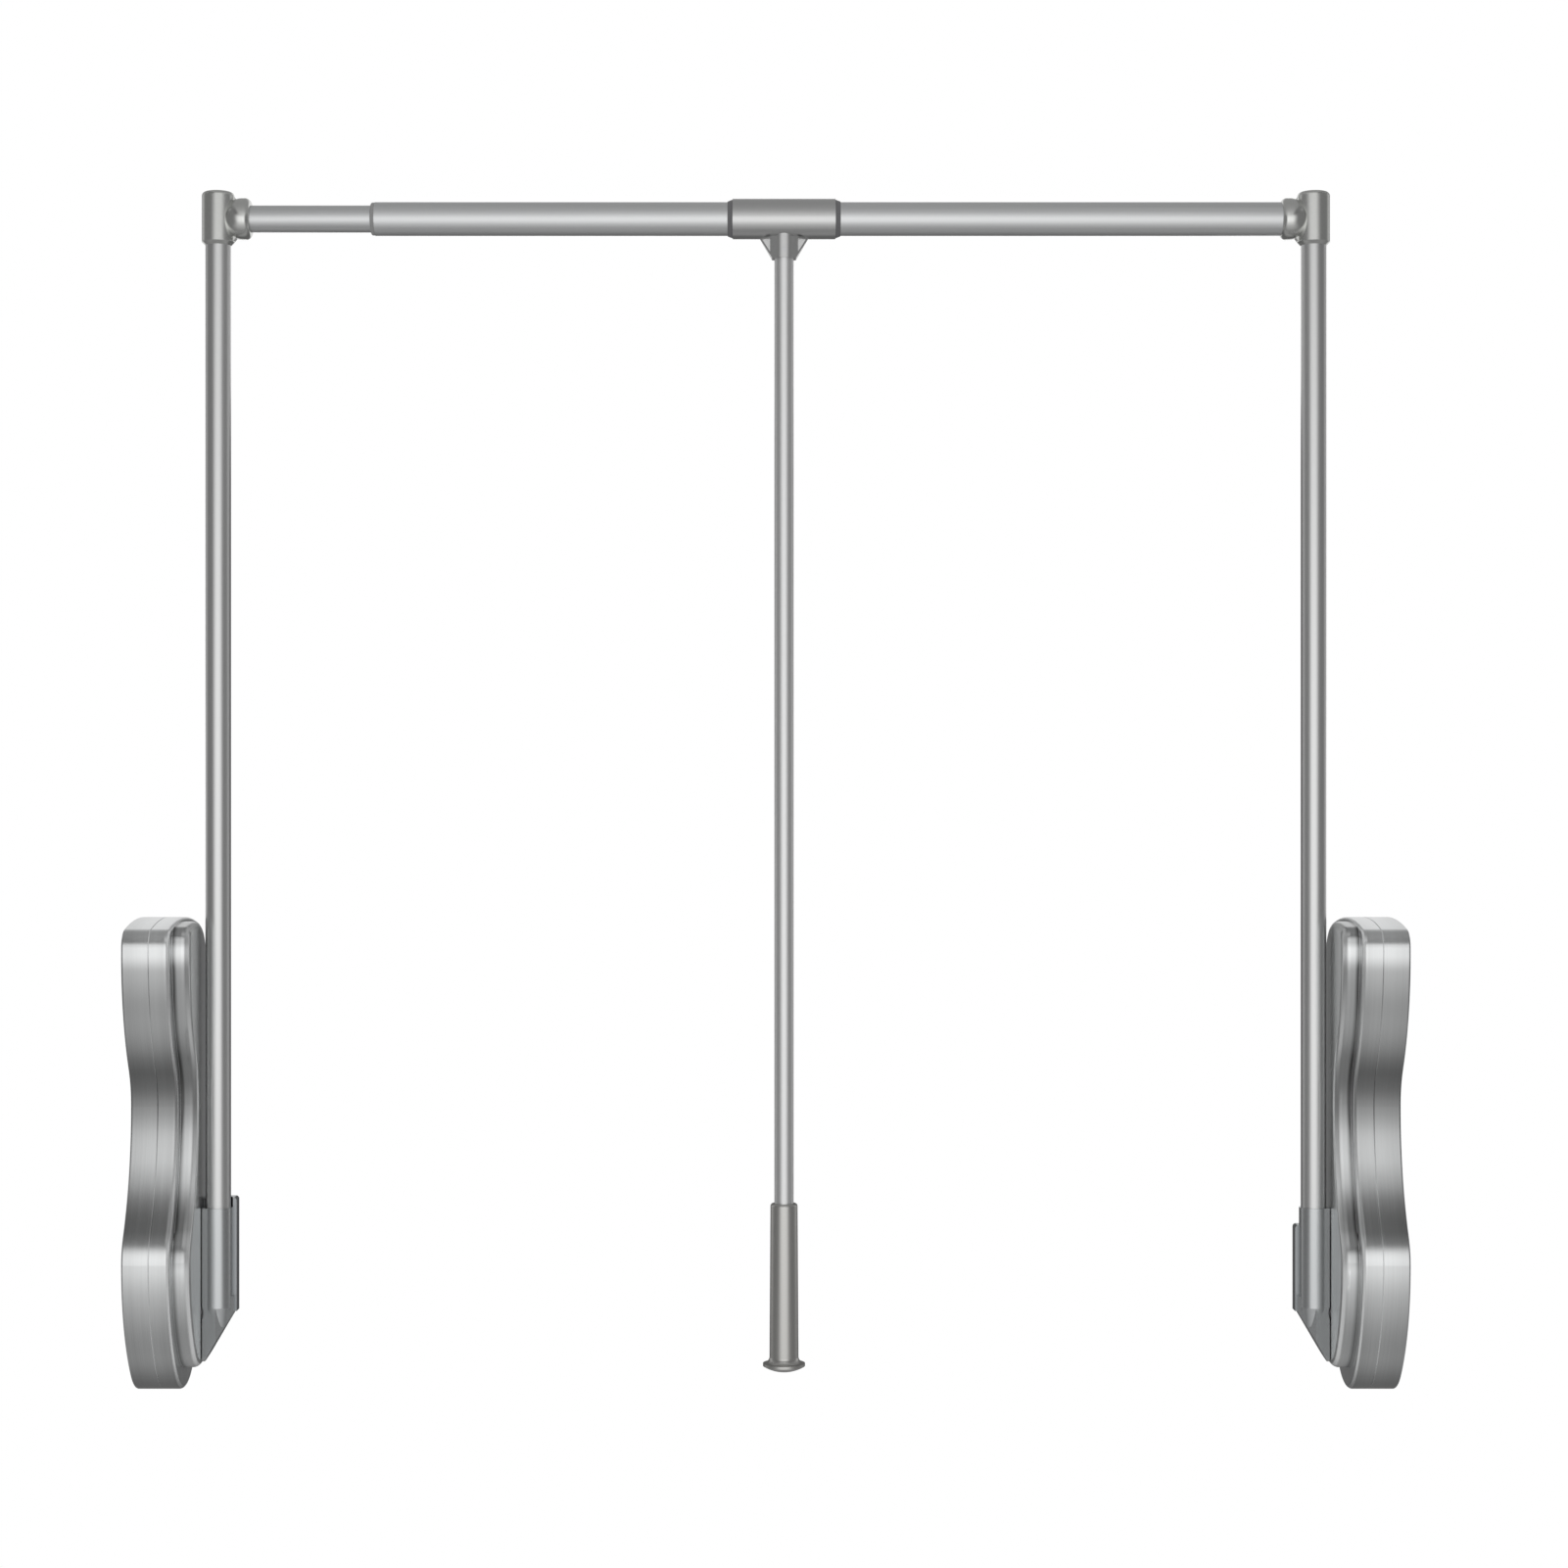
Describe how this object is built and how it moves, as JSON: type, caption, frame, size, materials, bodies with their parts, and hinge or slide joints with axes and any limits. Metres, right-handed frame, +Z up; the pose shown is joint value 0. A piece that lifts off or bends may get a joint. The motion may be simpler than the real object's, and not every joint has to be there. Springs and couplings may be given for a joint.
{
  "type": "pull down closet rod",
  "caption": "Wardrobe lift: a telescopic hanging rod on two sprung arms that swing forward and down from housings on the side walls, with a long pull handle.",
  "frame": {"origin": "on the left wall face, level with the pivot axis of the arms", "axes": "+X from the left wall to the right wall along the rod, +Y into the wardrobe, +Z up"},
  "size_m": [0.94, 0.13, 0.897],
  "materials": {
    "brushed_shell": "brushed along the outline",
    "satin_tube": "satin, drawn along the tube",
    "satin_casting": "satin die casting",
    "socket_casting": "darker satin die casting",
    "steel": "zinc plated",
    "bronze_bush": "sintered",
    "nylon": "moulded",
    "liner_plastic": "moulded",
    "grip_plastic": "metallic grey, satin",
    "rubber_stop": "moulded"
  },
  "bodies": {
    "left_housing": {"left_wall_shell": "brushed_shell", "left_room_shell": "brushed_shell", "left_raised_cover": "brushed_shell", "left_chassis_plate": "steel", "left_pivot_bushes": "bronze_bush", "left_lift_spring": "steel", "left_spring_seat": "nylon", "left_damper_cylinder": "steel", "left_bump_stop": "rubber_stop", "left_shell_screws": "steel"},
    "left_lift_rack": {"left_gear_rack": "steel", "left_crosshead": "nylon", "left_spring_guide_rod": "steel", "left_damper_rod": "steel"},
    "left_arm": {"left_pivot_shaft": "steel", "left_pinion": "steel", "left_shaft_clip": "steel", "left_hub_pin": "steel", "left_arm_socket": "socket_casting", "left_socket_plate": "socket_casting", "left_socket_screws": "steel", "left_arm_tube": "satin_tube", "left_corner_elbow": "satin_casting", "left_elbow_screws": "steel", "inner_rod": "satin_tube", "rod_guide_plug": "nylon"},
    "right_arm": {"right_pivot_shaft": "steel", "right_pinion": "steel", "right_shaft_clip": "steel", "right_hub_pin": "steel", "right_arm_socket": "socket_casting", "right_socket_plate": "socket_casting", "right_socket_screws": "steel", "right_arm_tube": "satin_tube", "right_corner_elbow": "satin_casting", "right_elbow_screws": "steel", "outer_rod": "satin_tube", "rod_glide": "nylon"},
    "sleeve_carriage": {"sleeve_liner": "liner_plastic", "liner_ring": "liner_plastic"},
    "handle": {"t_sleeve": "satin_casting", "handle_tube": "satin_tube", "handle_pin": "steel", "handle_grip": "grip_plastic", "grip_cap": "grip_plastic"},
    "right_housing": {"right_wall_shell": "brushed_shell", "right_room_shell": "brushed_shell", "right_raised_cover": "brushed_shell", "right_chassis_plate": "steel", "right_pivot_bushes": "bronze_bush", "right_lift_spring": "steel", "right_spring_seat": "nylon", "right_damper_cylinder": "steel", "right_bump_stop": "rubber_stop", "right_shell_screws": "steel"},
    "right_lift_rack": {"right_gear_rack": "steel", "right_crosshead": "nylon", "right_spring_guide_rod": "steel", "right_damper_rod": "steel"}
  },
  "joints": [
    {"name": "pull_down", "type": "hinge", "parent": "left_housing", "child": "left_arm", "pos_m": [0, 0, 0], "axis": [1, 0, 0], "range_deg": [0, 110], "stiffness_Nm_per_rad": 10, "springref_deg": -22.92},
    {"name": "left_rack_lift", "type": "slide", "parent": "left_housing", "child": "left_lift_rack", "axis": [0, 0, 1], "range_m": [0, 0.031], "deforming": ["left_lift_spring"]},
    {"name": "width_adjust", "type": "slide", "parent": "left_arm", "child": "right_arm", "axis": [1, 0, 0], "range_m": [-0.085, 0.2]},
    {"name": "handle_slide", "type": "slide", "parent": "right_arm", "child": "sleeve_carriage", "axis": [1, 0, 0], "range_m": [-0.25, 0.31]},
    {"name": "handle_swing", "type": "hinge", "parent": "sleeve_carriage", "child": "handle", "pos_m": [0.4836, 0, 0.82], "axis": [1, 0, 0], "continuous": true},
    {"name": "right_pivot", "type": "hinge", "parent": "right_arm", "child": "right_housing", "pos_m": [0.94, 0, 0], "axis": [1, 0, 0], "range_deg": [-110, 0]},
    {"name": "right_rack_lift", "type": "slide", "parent": "right_housing", "child": "right_lift_rack", "axis": [0, 0, 1], "range_m": [0, 0.031], "deforming": ["right_lift_spring"]}
  ],
  "couplings": [
    {"joint": "left_rack_lift", "follows": "pull_down", "m_per_rad": 0.016},
    {"joint": "right_pivot", "follows": "pull_down", "ratio": -1},
    {"joint": "right_rack_lift", "follows": "pull_down", "m_per_rad": 0.016}
  ]
}
